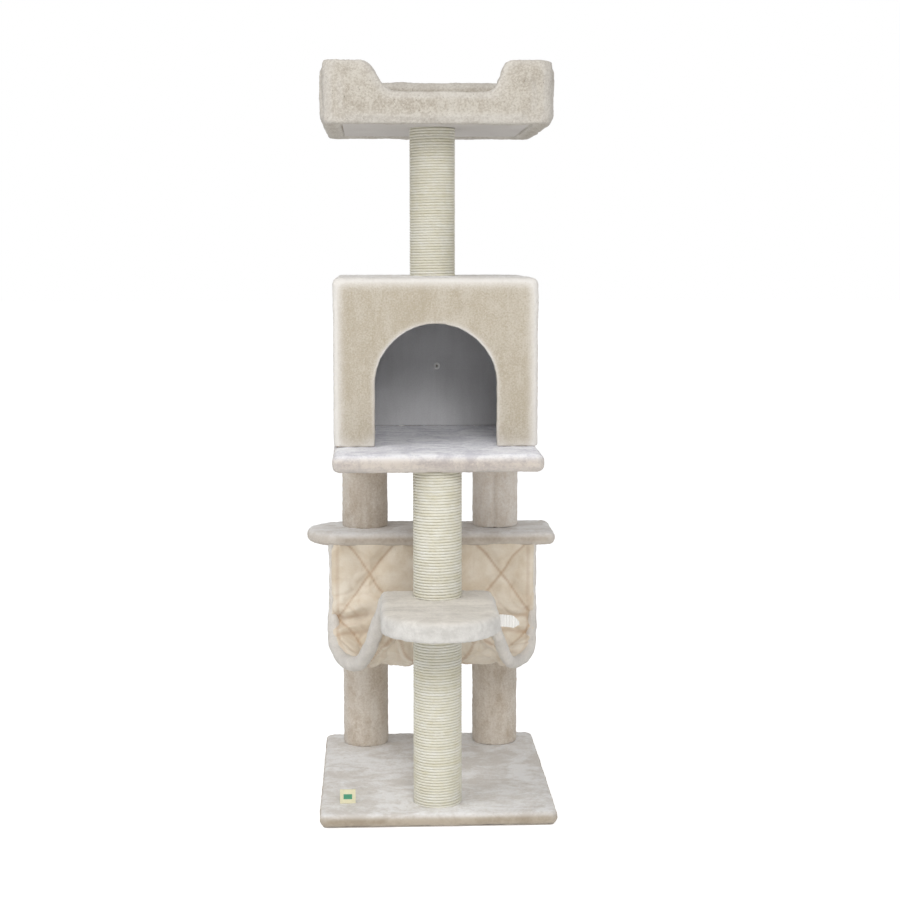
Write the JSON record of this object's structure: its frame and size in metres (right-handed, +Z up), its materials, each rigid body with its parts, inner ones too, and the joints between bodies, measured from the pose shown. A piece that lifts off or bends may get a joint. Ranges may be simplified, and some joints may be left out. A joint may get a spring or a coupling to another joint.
{
  "type": "cat tree",
  "caption": "Free-standing cat tree with a padded base, rope scratching post, step, shelf, slung hammock, lined arched house and a raised bed on top.",
  "frame": {"origin": "middle of the base's underside, on the floor", "axes": "+Z up, -Y towards the doorway and the step, +X to the right seen from the doorway"},
  "size_m": [0.472, 0.765, 1.311],
  "materials": {
    "plush_light": "short-pile plush, off-white",
    "plush_beige": "short-pile plush, warm beige",
    "plush_taupe": "brushed plush, taupe",
    "sisal_rope": "twisted sisal rope, matt",
    "sling_fleece": "quilted fleece, cream",
    "sling_hem": "rolled fleece hem",
    "grey_lining": "thin brushed lining, mid grey",
    "underside_sheet": "thin non-woven sheet, light grey",
    "woven_label": "plain woven tape, blank",
    "cardboard_tube": "spiral-wound kraft tube",
    "particle_board": "raw particle board",
    "plug_wood": "turned softwood",
    "zinc_steel": "zinc plated",
    "white_plastic": "matt, off-white"
  },
  "bodies": {
    "root": {"base_board": "particle_board", "base_cover": "plush_light", "base_underside_sheet": "underside_sheet", "base_label": "woven_label", "front_lower_tube": "cardboard_tube", "front_lower_sisal": "sisal_rope", "front_upper_tube": "cardboard_tube", "front_upper_sisal": "sisal_rope", "top_tube": "cardboard_tube", "top_sisal": "sisal_rope", "back_left_lower_tube": "cardboard_tube", "back_left_lower_sleeve": "plush_taupe", "back_left_upper_tube": "cardboard_tube", "back_left_upper_sleeve": "plush_taupe", "back_right_lower_tube": "cardboard_tube", "back_right_lower_sleeve": "plush_taupe", "back_right_upper_tube": "cardboard_tube", "back_right_upper_sleeve": "plush_taupe", "post_end_plugs": "plug_wood", "post_bolts": "zinc_steel", "post_washers": "zinc_steel", "post_studs": "zinc_steel", "floor_t_nuts": "zinc_steel", "step_board": "particle_board", "step_cover": "plush_light", "shelf_board": "particle_board", "shelf_cover": "plush_light", "hammock_cloth": "sling_fleece", "hammock_left_hem": "sling_hem", "hammock_right_hem": "sling_hem", "hammock_care_tag": "woven_label", "hammock_screws": "zinc_steel", "hammock_washers": "zinc_steel", "floor_board": "particle_board", "floor_cover": "plush_light", "house_front_panel": "particle_board", "house_back_panel": "particle_board", "house_left_panel": "particle_board", "house_right_panel": "particle_board", "house_top_panel": "particle_board", "house_front_cover": "plush_beige", "house_wrap_cover": "plush_light", "house_back_cover": "plush_light", "house_front_lining": "grey_lining", "house_back_lining": "grey_lining", "house_left_lining": "grey_lining", "house_right_lining": "grey_lining", "house_top_lining": "grey_lining", "wall_anchor_grommet": "white_plastic", "house_screws": "zinc_steel", "house_floor_screws": "zinc_steel", "bed_board": "particle_board", "bed_front_wall": "particle_board", "bed_back_wall": "particle_board", "bed_left_wall": "particle_board", "bed_right_wall": "particle_board", "bed_wall_cover": "plush_beige", "bed_floor_cover": "plush_light", "bed_underside_sheet": "underside_sheet", "bed_wall_screws": "zinc_steel"}
  },
  "joints": []
}
